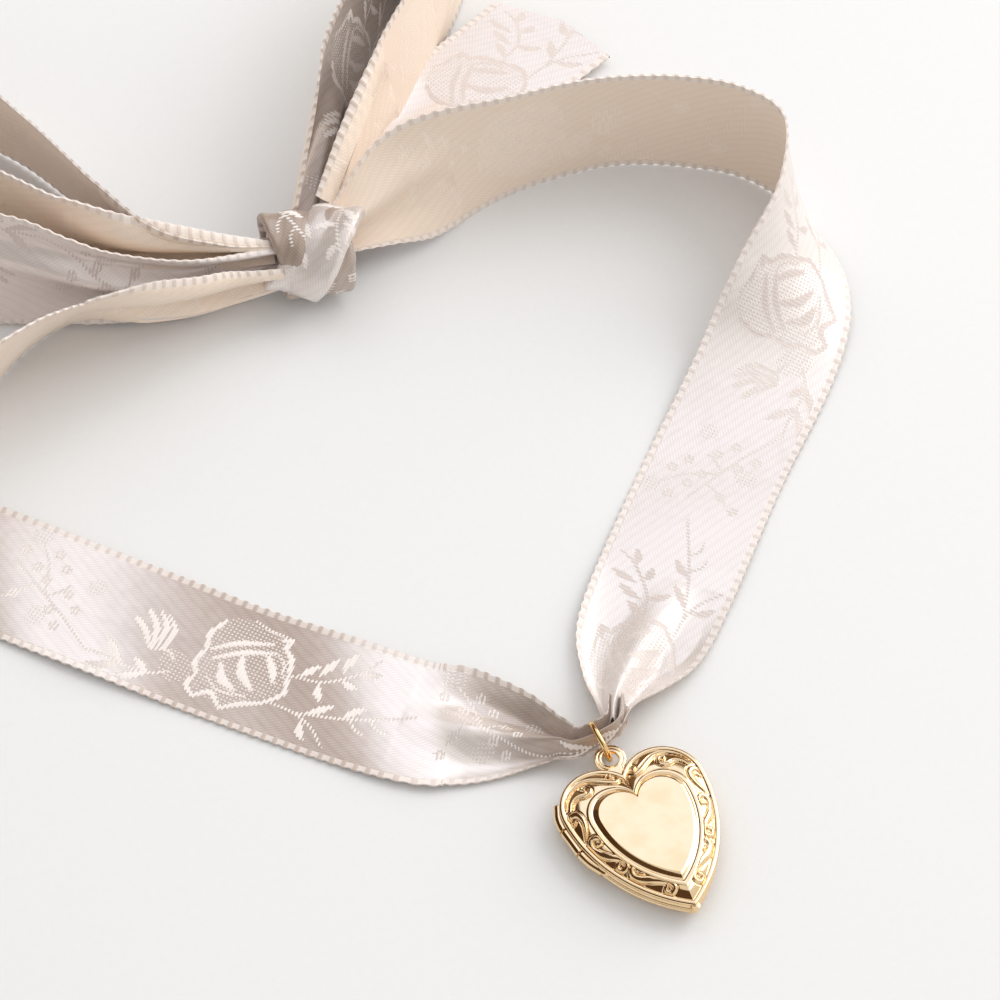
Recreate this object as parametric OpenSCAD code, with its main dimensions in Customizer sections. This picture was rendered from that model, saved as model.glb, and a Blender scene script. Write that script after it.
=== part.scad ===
// Hinged heart locket on a jump ring, threaded on a tied woven ribbon.
// Millimetres, +Z up. The origin is the middle of the back cover's flat resting face.
// The heart's tip points to -Y and its notch, with the bail, to +Y.

/* [Heart] */
// Half of the heart's width, at the widest place
heart_half_w = 11.5; // [11:0.1:13]
// Radius of the two lobes
lobe_r = 6.45; // [6:0.05:7]
// Distance of the lobe centres above the origin
lobe_y = 7.3; // [6.5:0.1:8]
// Distance of the heart's tip below the origin
tip_y = 13.7; // [13:0.1:15]
// Thickness of the sheet metal at the side walls
wall = 0.65; // [0.5:0.05:0.8]

/* [Heights] */
// Height of the parting plane between the two covers
seam_z = 2.75; // [2.5:0.05:3]
// Gap left between the closed covers
seam_gap = 0.06; // [0.04:0.02:0.1]
// Height of the closed locket
locket_h = 5.5; // [5.3:0.1:6]
// Height of each cover's plain side wall
rim_h = 1.4; // [1.2:0.1:1.5]

/* [Hinge] */
// Radius of the hinge pin
pin_r = 0.3; // [0.25:0.05:0.4]
// Radial clearance of the pin in the knuckles
pin_clear = 0.04; // [0.02:0.01:0.08]
// Outside radius of the knuckles
knuckle_r = 0.8; // [0.7:0.05:0.9]
// Length of each of the three knuckles
knuckle_l = 4.3; // [3.8:0.1:4.5]
// Tilt of the upper knuckle's far half, which follows the curve of the lobe
upper_tilt = 30; // [20:1:32]
// Tilt of the lower knuckle's far half, which follows the curve of the flank
lower_tilt = 22; // [16:1:26]

/* [Bail and jump ring] */
// Outside radius of the bail's eye
bail_r = 2.45; // [2.2:0.05:2.7]
// Radius of the hole in the bail
bail_hole_r = 1.3; // [1.2:0.05:1.5]
// Thickness of the bail
bail_t = 0.8; // [0.6:0.1:1]
// Radius of the jump ring to the middle of its wire
ring_r = 3.05; // [2.9:0.05:3.4]
// Radius of the jump ring's wire
wire_r = 0.45; // [0.35:0.05:0.5]

/* [Ribbon] */
// Width of the woven ribbon
ribbon_w = 22; // [20:1:24]
// Thickness of the ribbon's solid
ribbon_t = 0.5; // [0.4:0.1:0.8]
// Radius of the ribbon where it is gathered through the jump ring
gather_r = 1; // [0.8:0.05:1.1]

/* [Hidden] */
$fn = 96;
GOLD = "goldenrod";
CLOTH = "mistyrose";

// Fit allowances
slip = 0.1;
lay = 0.02;

// Heart outlines: half width, lobe radius, lobe height, tip height
outline = [heart_half_w, lobe_r, lobe_y, -tip_y];
shoulder = [8.7, 4.6, 4.9, -12.4];
panel = [7.5, 3.8, 4.3, -9];
notch_y = lobe_y + sqrt(pow(lobe_r, 2) - pow(heart_half_w - lobe_r, 2));

// Levels of the covers
back_panel_inset = 3;
back_step_inset = 1.5;
well_inset = 2.1;
back_top = seam_z - seam_gap / 2;
front_base = seam_z + seam_gap / 2;
back_foot_z = 0.3;
back_step_z = back_top - rim_h;
front_step_z = front_base + rim_h;
front_band_z = front_step_z + 0.5;
shoulder_z = locket_h - 0.45;
well_floor = 0.6;
well_roof = front_step_z + 0.15;
lip_h = 0.8;
lip_t = 0.4;
frame_t = 0.5;
frame_w = 1.3;
sheet_t = 0.2;

// Straight hinge line just outside the flank, on the parting plane
hinge_mid = [-11.45, 4.1];
hinge_lean = 7;
knuckle_gap = 0.12;
first_tilt = 8;
first_l = 2;
pin_reach = 1.8;
swing_room = 0.15;

// Bail and jump ring
bail_y = 15.2;
bail_z = back_top - bail_t;
ring_lean = 13;
ring_rise = 23;
ring_normal = [cos(ring_lean), 0, sin(ring_lean)];
ring_up = [-sin(ring_lean), 0, cos(ring_lean)];
bail_hole = [0, bail_y, bail_z + bail_t / 2];
ring_mid = bail_hole + ring_r * (cos(ring_rise) * [0, 1, 0] + sin(ring_rise) * ring_up);
gather_mid = ring_mid + (ring_r - wire_r - gather_r - slip) * ([0, 1, 0] + ring_up) / sqrt(2);
gather_l = 6;
gather_left = gather_mid - ring_normal * gather_l / 2;
gather_right = gather_mid + ring_normal * gather_l / 2;

// ---- Heart shapes ----

// A heart of two lobes and two long flank arcs, drawn in by inset
module heart(h, inset = 0) {
    depth = h[2] - h[3];
    flank_r = (pow(h[0], 2) + pow(depth, 2)) / (2 * h[0]);
    flank_x = h[0] - flank_r;
    for (side = [-1, 1])
        translate([side * (h[0] - h[1]), h[2]]) circle(h[1] - inset);
    intersection() {
        translate([flank_x, h[2]]) circle(flank_r - inset);
        translate([-flank_x, h[2]]) circle(flank_r - inset);
        translate([-2 * h[0], h[3] - h[0]]) square([4 * h[0], h[2] - h[3] + h[0]]);
    }
}

// A heart plate between two heights
module plate(h, low, high, inset = 0) {
    translate([0, 0, low]) linear_extrude(high - low) heart(h, inset);
}

// A heart ring between two heights
module ring_plate(low, high, outer, inner) {
    translate([0, 0, low]) linear_extrude(high - low) difference() {
        heart(outline, outer);
        heart(outline, inner);
    }
}

// ---- Hinge ----

// Moves its children onto the hinge line, with their Z along it, at a distance from its middle
module on_hinge(along = 0) {
    translate([hinge_mid[0], hinge_mid[1], seam_z]) rotate([0, 0, hinge_lean]) rotate([-90, 0, 0])
        translate([0, 0, along]) children();
}

// The middle knuckle's barrel, drawn larger by grow
module middle_barrel(grow = 0) {
    on_hinge() cylinder(h = knuckle_l + 2 * grow, r = knuckle_r + grow, center = true);
}

// An outer knuckle's barrel, which bends in to follow the cover. side is 1 above and -1 below.
module outer_barrel(side, tilt, grow = 0) {
    r = knuckle_r + grow;
    on_hinge() rotate([0, side > 0 ? 0 : 180, 0]) translate([0, 0, knuckle_l / 2 + knuckle_gap - grow])
        intersection() {
            union() {
                rotate([0, side * first_tilt, 0]) translate([0, 0, -1]) cylinder(h = first_l + 1, r = r);
                translate(first_l * [side * sin(first_tilt), 0, cos(first_tilt)]) {
                    sphere(r + 0.03);
                    rotate([0, side * tilt, 0]) cylinder(h = knuckle_l - first_l + grow, r = r);
                }
            }
            translate([-5, -5, 0]) cube(10);
        }
}

module outer_barrels(grow) {
    outer_barrel(1, upper_tilt, grow);
    outer_barrel(-1, lower_tilt, grow);
}

// Bore for the pin, which ends inside the outer knuckles
module pin_bore() {
    on_hinge() cylinder(h = knuckle_l + 2 * (knuckle_gap + pin_reach), r = pin_r + pin_clear, center = true);
}

module back_knuckle_upper() {
    color(GOLD) difference() {
        outer_barrel(1, upper_tilt);
        pin_bore();
    }
}

module back_knuckle_lower() {
    color(GOLD) difference() {
        outer_barrel(-1, lower_tilt);
        pin_bore();
    }
}

module front_knuckle() {
    color(GOLD) difference() {
        middle_barrel();
        pin_bore();
    }
}

module hinge_pin() {
    color(GOLD) on_hinge()
        cylinder(h = knuckle_l + 2 * (knuckle_gap + pin_reach - slip), r = pin_r, center = true);
}

// ---- Covers ----

module back_cover() {
    color(GOLD) difference() {
        union() {
            plate(outline, 0, well_floor, back_panel_inset);
            plate(outline, back_foot_z, back_step_z, back_step_inset);
            plate(outline, back_step_z, back_top);
        }
        plate(outline, well_floor, seam_z, well_inset + slip);
        plate(outline, back_step_z + 0.5, seam_z, wall);
        middle_barrel(swing_room);
        outer_barrels(lay);
        pin_bore();
    }
}

module front_cover() {
    color(GOLD) difference() {
        union() {
            plate(outline, front_base, front_step_z);
            plate(outline, front_step_z, front_band_z, 1.2);
            plate(shoulder, front_band_z, shoulder_z);
            plate(panel, shoulder_z, locket_h);
        }
        plate(outline, seam_z, front_step_z - 0.45, wall - slip);
        plate(outline, seam_z, well_roof, well_inset + slip);
        outer_barrels(swing_room);
        middle_barrel(lay);
        pin_bore();
    }
}

// Thin inner wall of the back cover, over which the front cover snaps
module snap_lip() {
    color(GOLD) difference() {
        ring_plate(back_step_z + 0.5, seam_z + lip_h, wall, wall + lip_t);
        middle_barrel(swing_room);
        outer_barrels(lay);
    }
}

// Small nib at the tip that a fingernail lifts
module thumb_catch() {
    color(GOLD) difference() {
        translate([0, -tip_y, front_base]) cylinder(h = 0.9, r = 0.75);
        linear_extrude(10) heart(outline);
    }
}

// ---- Picture holders ----

module picture_frame(low) {
    color(GOLD) ring_plate(low, low + frame_t, well_inset + slip + lay, well_inset + frame_w);
}

module picture_sheet(low, shade) {
    color(shade) plate(outline, low, low + sheet_t, well_inset + slip + lay);
}

module back_photo_card() {
    picture_sheet(well_floor + lay, "white");
}

module back_window() {
    picture_sheet(well_floor + sheet_t + 2 * lay, "lightcyan");
}

module back_photo_frame() {
    picture_frame(well_floor + 2 * sheet_t + 3 * lay);
}

module front_photo_card() {
    picture_sheet(well_roof - sheet_t - lay, "white");
}

module front_window() {
    picture_sheet(well_roof - 2 * sheet_t - 2 * lay, "lightcyan");
}

module front_photo_frame() {
    picture_frame(well_roof - 2 * sheet_t - frame_t - 3 * lay);
}

// ---- Bail and jump ring ----

module bail_loop() {
    stem_w = 2.6;
    color(GOLD) difference() {
        translate([0, 0, bail_z]) linear_extrude(bail_t) {
            translate([0, bail_y]) circle(bail_r);
            translate([-stem_w / 2, notch_y - 1]) square([stem_w, bail_y - notch_y + 1]);
        }
        translate([0, bail_y, 0]) cylinder(h = 10, r = bail_hole_r);
        linear_extrude(10) heart(outline);
    }
}

module jump_ring() {
    color(GOLD) translate(ring_mid) rotate([0, 90 - ring_lean, 0])
        rotate_extrude() translate([ring_r, 0]) circle(wire_r, $fn = 32);
}

// ---- Ribbon ----

// Where the ribbon meets its knot
knot_mid = [-3.5, 121.5, 7.6];
full = ribbon_w;
flat_z = ribbon_t / 2 + 0.1;

// Routes: x, y, z, lean of the width from level, width. The lean turns the left edge up.
neck_left_route = [
    [gather_left[0], gather_left[1], gather_left[2], 0, 2.2],
    [-6, 21.5, 2.8, 0, 7], [-11, 26, 1.2, 0, 15], [-18, 31, 0.5, 0, 21], [-25, 36, flat_z, 0, full],
    [-41, 53, flat_z, 0, full], [-57, 71, flat_z, 0, full], [-73, 90, flat_z, 0, full],
    [-87, 106, 2, -8, full], [-98, 121, 6.6, -35, full], [-104, 138, 10.3, -66, full],
    [-101, 157, 11.2, -82, full], [-90, 173, 11.2, -88, full], [-74, 183, 11.2, -88, full],
    [-57, 182, 11.2, -86, full], [-44, 170, 11.2, -82, full], [-36.5, 155, 11.2, -78, full],
    [-31, 139, 11, -76, full], [-24.5, 129.5, 9.8, -74, 18], [-16, 125.5, 8.6, -76, 11],
    [-8, 123.5, 8, -80, 6]
];
neck_right_route = [
    [gather_right[0], gather_right[1], gather_right[2], 0, 2.2],
    [4.5, 22.5, 4.4, 0, 6], [8, 27, 2.4, 0, 13], [13.5, 33, 0.8, 0, 20], [23, 42.5, flat_z, 0, full],
    [39.5, 58.5, flat_z, 0, full], [56, 73, 2.1, 8, full], [66, 83.5, 7, 36, full],
    [72, 94, 10.5, 70, full], [74, 104, 11.2, 88, full], [70, 112, 11.2, 90, full],
    [62, 118, 11.2, 90, full], [53, 122, 11.2, 90, full], [44, 124, 11.2, 92, full],
    [34, 125, 11.1, 96, full], [24, 125.5, 10.6, 108, full], [15, 125, 9.8, 120, 19],
    [8, 123.5, 9, 122, 13], [1.5, 122, 8, 120, 7]
];
loop_left_route = [
    [-8, 121, 7.6, -70, 6], [-16, 122.2, 7.2, -84, 10], [-25, 123.4, 7.7, -86, 13.5],
    [-36, 128, 8.8, -84, 16], [-42, 131.2, 9.8, -82, 18.5], [-50, 136, 10.6, -74, 21],
    [-65, 144, 11.1, -70, full], [-77, 152, 11.3, -78, full], [-83.5, 160, 11.4, -86, full],
    [-79.5, 166.5, 11.4, -90, full], [-70, 165.5, 11.4, -90, full], [-58, 158, 11.4, -90, full],
    [-48, 148, 11.4, -90, full], [-40, 137.5, 11.3, -88, full], [-31, 129.5, 10.6, -86, 18],
    [-19, 125, 9.4, -86, 11], [-9, 122.5, 8.6, -86, 5]
];
loop_right_route = [
    [-2, 127, 8.6, 80, 6], [5, 136, 9.6, 76, 14], [14, 147.5, 10.8, 74, full],
    [25, 161, 11, 78, full], [37, 175, 11.2, 86, full], [44, 180, 11.2, 90, full],
    [48.5, 176, 11.2, 92, full], [44, 167.5, 11.2, 94, full], [34, 157, 11.2, 96, full],
    [22, 145.5, 11, 98, full], [11, 135.5, 10, 96, 15], [2, 127, 8.8, 92, 7]
];
tail_left_route = [
    [-9, 119, 6.2, 74, 7], [-17, 120, 5.6, 82, 10.4], [-24, 119.9, 6.8, 76, 13],
    [-31, 120.6, 8.3, 68, 16.5], [-37.5, 121.6, 9.7, 61, 21], [-43.5, 122.8, 9.9, 58, full],
    [-50, 121.4, 10.2, 62, full], [-58, 117.8, 10.8, 70, full], [-68, 113.5, 11.1, 76, full],
    [-79, 109.5, 11.2, 80, full]
];
tail_right_route = [
    [1, 125, 6, 20, 7], [10, 131, 5.2, 12, 15], [21, 137.5, 3.6, 8, 20],
    [34, 144, 2.6, 5, full], [46, 149.5, 2, 3, full], [58, 154, 2, 3, full]
];

// One value of a smooth curve through p1 and p2, at t from 0 to 1
function smooth(p0, p1, p2, p3, t) =
    0.5 * (2 * p1 + (p2 - p0) * t + (2 * p0 - 5 * p1 + 4 * p2 - p3) * t * t
        + (3 * p1 - p0 - 3 * p2 + p3) * t * t * t);

function clamp_index(route, i) = min(max(i, 0), len(route) - 1);

// The route with three stations for each of its points
function stations(route, steps = 3) = [
    for (i = [0 : len(route) - 2], k = [0 : steps - 1])
        smooth(route[clamp_index(route, i - 1)], route[i], route[i + 1],
            route[clamp_index(route, i + 2)], k / steps),
    route[len(route) - 1]
];

function place(p) = [p[0], p[1], p[2]];
function unit(v) = v / norm(v);

// The four corners of the strip at one station
function corners(path, i) =
    let (p = path[i],
        heading = unit(place(path[clamp_index(path, i + 1)]) - place(path[clamp_index(path, i - 1)])),
        level = unit([-heading[1], heading[0], 0]),
        rise = cross(heading, level),
        across = (cos(p[3]) * level + sin(p[3]) * rise) * p[4] / 2,
        thick = max(ribbon_t, 3.2 / p[4]),
        out = unit(cross(heading, across)) * thick / 2)
    [place(p) - across - out, place(p) + across - out, place(p) + across + out, place(p) - across + out];

// The two triangles of one side of the strip between two stations, split the same way above and below
function side_faces(i, k) =
    let (near = 4 * i + k,
        far = near + 4,
        next = 4 * i + (k + 1) % 4,
        far_next = next + 4)
    k < 2 ? [[near, far, far_next], [near, far_next, next]] : [[near, far, next], [far, far_next, next]];

// A thin strip swept along a route
module strip(route) {
    path = stations(route);
    last = len(path) - 1;
    points = [for (i = [0 : last], c = corners(path, i)) c];
    sides = [for (i = [0 : last - 1], k = [0 : 3], face = side_faces(i, k)) face];
    ends = [[0, 1, 2], [0, 2, 3], [4 * last + 2, 4 * last + 1, 4 * last], [4 * last + 3, 4 * last + 2, 4 * last]];
    color(CLOTH) polyhedron(points, concat(ends, sides), convexity = 10);
}

module ribbon_gather() {
    color(CLOTH) translate(gather_mid) rotate([0, 90 - ring_lean, 0])
        cylinder(h = gather_l, r = gather_r, center = true);
}

module neck_ribbon_left() {
    strip(neck_left_route);
}

module neck_ribbon_right() {
    strip(neck_right_route);
}

module bow_loop_left() {
    strip(loop_left_route);
}

module bow_loop_right() {
    strip(loop_right_route);
}

module ribbon_tail_left() {
    strip(tail_left_route);
}

module ribbon_tail_right() {
    strip(tail_right_route);
}

// The tied knot: a rounded lump that stands on the surface
module ribbon_knot() {
    color(CLOTH) hull() {
        translate(knot_mid + [1.5, 1.5, 1]) sphere(5, $fn = 24);
        translate(knot_mid + [-2, -2.5, 0.5]) sphere(4.6, $fn = 24);
        translate([knot_mid[0] - 2, knot_mid[1] - 5.5, 2.3]) sphere(2.2, $fn = 24);
        translate([knot_mid[0] + 2, knot_mid[1], 2.3]) sphere(2.2, $fn = 24);
    }
}

back_cover();
front_cover();
hinge_pin();
back_knuckle_upper();
back_knuckle_lower();
front_knuckle();
bail_loop();
snap_lip();
thumb_catch();
back_photo_frame();
back_window();
back_photo_card();
front_photo_frame();
front_window();
front_photo_card();
jump_ring();
ribbon_gather();
neck_ribbon_left();
neck_ribbon_right();
ribbon_knot();
bow_loop_left();
bow_loop_right();
ribbon_tail_left();
ribbon_tail_right();
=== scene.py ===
"""Looks for a gold heart locket on a woven ribbon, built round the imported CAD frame.

The shapes are worked out in millimetres, in the CAD's frame, and turned to metres as each mesh is made.
"""

import math

import bmesh
import bpy
import numpy as np
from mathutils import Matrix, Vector


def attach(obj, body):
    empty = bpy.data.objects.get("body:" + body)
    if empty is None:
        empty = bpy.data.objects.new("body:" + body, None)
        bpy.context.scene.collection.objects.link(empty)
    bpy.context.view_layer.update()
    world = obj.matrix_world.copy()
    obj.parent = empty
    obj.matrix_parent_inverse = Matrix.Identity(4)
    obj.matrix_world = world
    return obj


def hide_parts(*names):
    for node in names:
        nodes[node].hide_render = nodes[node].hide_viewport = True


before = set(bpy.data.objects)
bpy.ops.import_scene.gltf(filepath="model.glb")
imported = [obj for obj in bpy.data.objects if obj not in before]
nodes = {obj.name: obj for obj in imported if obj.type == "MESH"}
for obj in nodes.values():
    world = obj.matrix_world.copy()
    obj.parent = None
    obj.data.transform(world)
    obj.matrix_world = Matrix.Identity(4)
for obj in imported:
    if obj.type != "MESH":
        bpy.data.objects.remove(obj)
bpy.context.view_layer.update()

MM = 0.001
TURN = 2 * math.pi
# A distance in millimetres that is past every shape measured with it
FAR = 9.0

# ---- Camera ----

CAMERA_AIM = Vector((0.006, 0.0675, 0.0))
CAMERA_AZIMUTH = math.radians(-24.84)
CAMERA_ELEVATION = math.radians(53.9)
CAMERA_DISTANCE = 0.649
CAMERA_LENS = 148.0


def link(obj):
    bpy.context.scene.collection.objects.link(obj)
    return obj


def towards(azimuth, elevation):
    """The direction from the object to a viewer at that azimuth and elevation."""
    return Vector((math.sin(azimuth) * math.cos(elevation),
                   -math.cos(azimuth) * math.cos(elevation), math.sin(elevation)))


def make_camera():
    data = bpy.data.cameras.new("camera")
    data.lens = CAMERA_LENS
    data.clip_start = 0.01
    camera = link(bpy.data.objects.new("camera", data))
    back = towards(CAMERA_AZIMUTH, CAMERA_ELEVATION)
    camera.location = CAMERA_AIM + back * CAMERA_DISTANCE
    camera.rotation_euler = (-back).to_track_quat("-Z", "Y").to_euler()
    bpy.context.scene.camera = camera


make_camera()

# ---- Materials ----


class Nodes:
    """A short way to write a material's node tree."""

    def __init__(self, name):
        self.material = bpy.data.materials.new(name)
        self.material.use_nodes = True
        self.tree = self.material.node_tree
        self.shader = self.tree.nodes["Principled BSDF"]

    def add(self, kind, inputs=(), **settings):
        """A node with its settings, and its inputs linked to sockets or set to values."""
        node = self.tree.nodes.new("ShaderNode" + kind)
        for key, value in settings.items():
            setattr(node, key, value)
        for key, value in dict(inputs).items():
            self.put(node, key, value)
        return node

    def put(self, node, key, value):
        if isinstance(value, bpy.types.NodeSocket):
            self.tree.links.new(value, node.inputs[key])
        else:
            node.inputs[key].default_value = value

    def math(self, operation, a, b=0.0):
        return self.add("Math", {0: a, 1: b}, operation=operation).outputs[0]

    def ramp(self, value, low, high, to_low=0.0, to_high=1.0):
        """A smooth step of a value from low to high."""
        return self.add("MapRange", {"Value": value, "From Min": low, "From Max": high, "To Min": to_low,
                                     "To Max": to_high}, interpolation_type="SMOOTHSTEP").outputs[0]

    def mix(self, share, a, b):
        node = self.add("Mix", data_type="RGBA")
        self.put(node, 0, share)
        self.put(node, 6, a)
        self.put(node, 7, b)
        return node.outputs[2]

    def noise(self, scale, detail, place):
        return self.add("TexNoise", {"Scale": scale, "Detail": detail, "Vector": place}).outputs["Fac"]

    def bump(self, height, distance, strength):
        inputs = {"Height": height, "Distance": distance, "Strength": strength}
        return self.add("Bump", inputs).outputs["Normal"]

    def attribute(self, name):
        return self.add("Attribute", attribute_name=name).outputs["Fac"]

    def surface(self, **values):
        for key, value in values.items():
            self.put(self.shader, key.replace("_", " "), value)
        return self.material


def gold(name, colour, dull, rough_low, rough_high):
    """Polished plate with faint handling marks, duller where it is rubbed."""
    n = Nodes(name)
    place = n.add("TexCoord").outputs["Object"]
    cloud = n.noise(260.0, 4.0, place)
    scratch = n.noise(2600.0, 2.0, n.add("Mapping", {"Vector": place, "Scale": (1.0, 0.12, 0.3),
                                                    "Rotation": (0.0, 0.0, 0.6)}).outputs[0])
    return n.surface(
        Base_Color=n.mix(n.ramp(cloud, 0.35, 0.7), colour, dull),
        Metallic=1.0,
        Roughness=n.ramp(n.math("ADD", n.math("MULTIPLY", cloud, 0.6), n.math("MULTIPLY", scratch, 0.4)),
                         0.35, 0.65, rough_low, rough_high),
        Normal=n.bump(scratch, 0.000004, 0.25),
    )


GOLD = gold("polished_gold", (0.97, 0.74, 0.46, 1), (0.91, 0.66, 0.38, 1), 0.07, 0.15)
RING_GOLD = gold("ring_gold", (0.96, 0.66, 0.32, 1), (0.86, 0.56, 0.24, 1), 0.10, 0.20)


def acetate():
    n = Nodes("clear_acetate")
    haze = n.noise(900.0, 3.0, n.add("TexCoord").outputs["Object"])
    return n.surface(
        Base_Color=n.mix(haze, (0.97, 0.98, 0.97, 1), (0.93, 0.95, 0.93, 1)),
        Roughness=n.ramp(haze, 0.3, 0.7, 0.05, 0.16),
        Transmission_Weight=1.0,
        IOR=1.47,
    )


def card():
    n = Nodes("photo_card")
    place = n.add("TexCoord").outputs["Object"]
    fibre = n.noise(3800.0, 5.0, place)
    cloud = n.ramp(n.noise(420.0, 4.0, place), 0.3, 0.7)
    return n.surface(
        Base_Color=n.mix(cloud, (0.86, 0.83, 0.77, 1), (0.80, 0.76, 0.69, 1)),
        Roughness=n.ramp(fibre, 0.3, 0.7, 0.45, 0.65),
        Normal=n.bump(fibre, 0.00002, 0.5),
    )


ACETATE = acetate()
CARD = card()

# Thread sizes of the ribbon's weave. The cloth's UV is in centimetres along and across.
TWILL_PITCH = 0.45
FLOAT_PITCH = 0.62
SELVEDGE_PITCH = 1.85


def lines(n, cloth, pitch_mm, angle, wobble):
    """Soft parallel thread lines over the cloth's UV, as a height from 0 to 1."""
    turned = n.add("Mapping", {"Vector": cloth, "Rotation": (0.0, 0.0, angle)}).outputs[0]
    return n.add("TexWave", {"Vector": turned, "Scale": math.pi / pitch_mm, "Distortion": wobble, "Detail": 2.0,
                             "Detail Scale": 1.5},
                 wave_type="BANDS", bands_direction="X", wave_profile="SIN").outputs["Fac"]


def ribbon_cloth():
    """Satin ground with a raised woven pattern on the face, and a tan twill on the reverse.

    The satin's long floats mirror light, the pattern's short ones scatter it. So the pattern shows light on
    satin that mirrors the dark side of the room, and dark on satin that mirrors the window. Most of that
    change of tone is painted in with the glow attribute, and so it stays put when the lights move.
    """
    n = Nodes("woven_ribbon")
    cloth = n.add("UVMap", uv_map="cloth").outputs[0]
    twill = lines(n, cloth, TWILL_PITCH, math.radians(58), 0.8)
    floats = lines(n, cloth, FLOAT_PITCH, math.radians(4), 0.8)
    across = lines(n, cloth, FLOAT_PITCH, math.radians(94), 0.8)
    breaks = lines(n, cloth, 3 * TWILL_PITCH, math.radians(118), 1.2)
    twill = n.math("MULTIPLY", twill, n.ramp(breaks, 0.1, 0.5, 0.35, 1.0))
    dots = lines(n, cloth, SELVEDGE_PITCH, 0.0, 0.0)
    ragged = n.math("MULTIPLY", n.math("SUBTRACT", floats, 0.5), 0.30)
    fill = n.ramp(n.attribute("fill"), 0.15, -0.15)
    stroke = n.ramp(n.math("ADD", n.attribute("stroke"), ragged), 0.08, -0.08)
    reverse = n.attribute("reverse")
    rim = n.ramp(n.attribute("from_edge"), 1.2, 0.9)
    bead = n.math("MULTIPLY", n.ramp(dots, 0.08, 0.50), rim)
    cell = n.math("MULTIPLY", n.ramp(floats, 0.35, 0.65), n.ramp(across, 0.30, 0.60))
    cloud = n.noise(5.0, 4.0, cloth)
    fuzz = n.noise(70.0, 5.0, cloth)

    # Painted shade and shine: the satin ground mixes its shaded and lit colours by the glow, and the pattern's
    # floats are painted lighter where it is shaded and darker where it is lit
    glow = n.math("ADD", n.attribute("glow"), n.math("MULTIPLY", n.math("SUBTRACT", cloud, 0.5), 0.25))
    shaded = n.mix(n.ramp(twill, 0.10, 0.9), (0.39, 0.300, 0.245, 1), (0.46, 0.365, 0.305, 1))
    lit = n.mix(n.ramp(twill, 0.10, 0.9), (0.80, 0.730, 0.695, 1), (0.87, 0.805, 0.775, 1))
    ground = n.mix(n.ramp(glow, 0.0, 1.0), shaded, lit)
    float_colour = n.mix(n.ramp(glow, 0.6, 1.0), (0.82, 0.750, 0.710, 1), (0.66, 0.575, 0.540, 1))
    hatch = n.math("MULTIPLY", fill, cell)
    face = n.mix(n.math("MAXIMUM", n.math("MULTIPLY", hatch, 0.75), stroke), ground, float_colour)
    back = n.mix(n.ramp(twill, 0.2, 0.8), (0.82, 0.68, 0.56, 1), (0.87, 0.73, 0.61, 1))
    back = n.mix(n.math("MULTIPLY", n.math("MAXIMUM", fill, stroke), 0.35), back, (0.92, 0.81, 0.70, 1))
    colour = n.mix(reverse, face, back)
    edge = n.mix(bead, (0.50, 0.405, 0.350, 1), (0.78, 0.705, 0.665, 1))
    # The selvedge is painted paler where the satin's painted shine is high
    edge = n.mix(n.math("MULTIPLY", n.ramp(glow, 0.3, 1.0), 0.5), edge, (0.84, 0.77, 0.73, 1))
    colour = n.mix(n.math("MULTIPLY", rim, 0.65), colour, edge)

    raised = n.math("MAXIMUM", n.math("MULTIPLY", hatch, 0.75), stroke)
    plain = n.math("MAXIMUM", n.math("MAXIMUM", raised, rim), n.math("MULTIPLY", reverse, 0.85))
    height = n.math("ADD", n.math("MULTIPLY", twill, 0.22), n.math("MULTIPLY", fuzz, 0.2))
    height = n.math("ADD", height, n.math("MULTIPLY", raised, n.math("ADD", floats, 0.8)))
    height = n.math("ADD", height, n.math("MULTIPLY", bead, 1.6))
    tangent = n.add("Tangent", direction_type="UV_MAP", uv_map="cloth").outputs[0]
    n.shader.inputs["Sheen Weight"].default_value = 0.15
    n.shader.inputs["Sheen Roughness"].default_value = 0.4
    n.shader.inputs["Anisotropic"].default_value = 0.75
    n.shader.inputs["Specular IOR Level"].default_value = 0.6
    return n.surface(
        Base_Color=colour,
        Metallic=n.ramp(plain, 0.0, 1.0, 0.30, 0.05),
        Roughness=n.math("ADD", n.ramp(plain, 0.0, 1.0, 0.30, 0.55), n.math("MULTIPLY", fuzz, 0.06)),
        Normal=n.bump(height, 0.00005, 0.7),
        Tangent=tangent)


RIBBON = ribbon_cloth()

# ---- Stage ----


def plain_mesh(name, points, faces):
    mesh = bpy.data.meshes.new(name)
    mesh.from_pydata([tuple(p) for p in np.asarray(points, float)], [], [tuple(f) for f in faces])
    return link(bpy.data.objects.new(name, mesh))


CARD_AIM, CARD_DISTANCE = Vector((0.0, 0.05, 0.0)), 0.9
LIGHT_AIM = Vector((0.0, 0.06, 0.0))
FLOOR_HALF = 4.0


def panel_at(name, direction, width, height):
    """A flat rectangle that faces the object from a direction."""
    centre = CARD_AIM + Vector(direction).normalized() * CARD_DISTANCE
    turn = (-Vector(direction)).to_track_quat("-Z", "Y")
    corners = [(-width / 2, -height / 2, 0), (width / 2, -height / 2, 0), (width / 2, height / 2, 0),
               (-width / 2, height / 2, 0)]
    obj = plain_mesh(name, [centre + turn @ Vector(c) for c in corners], [(0, 1, 2, 3)])
    return obj


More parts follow.
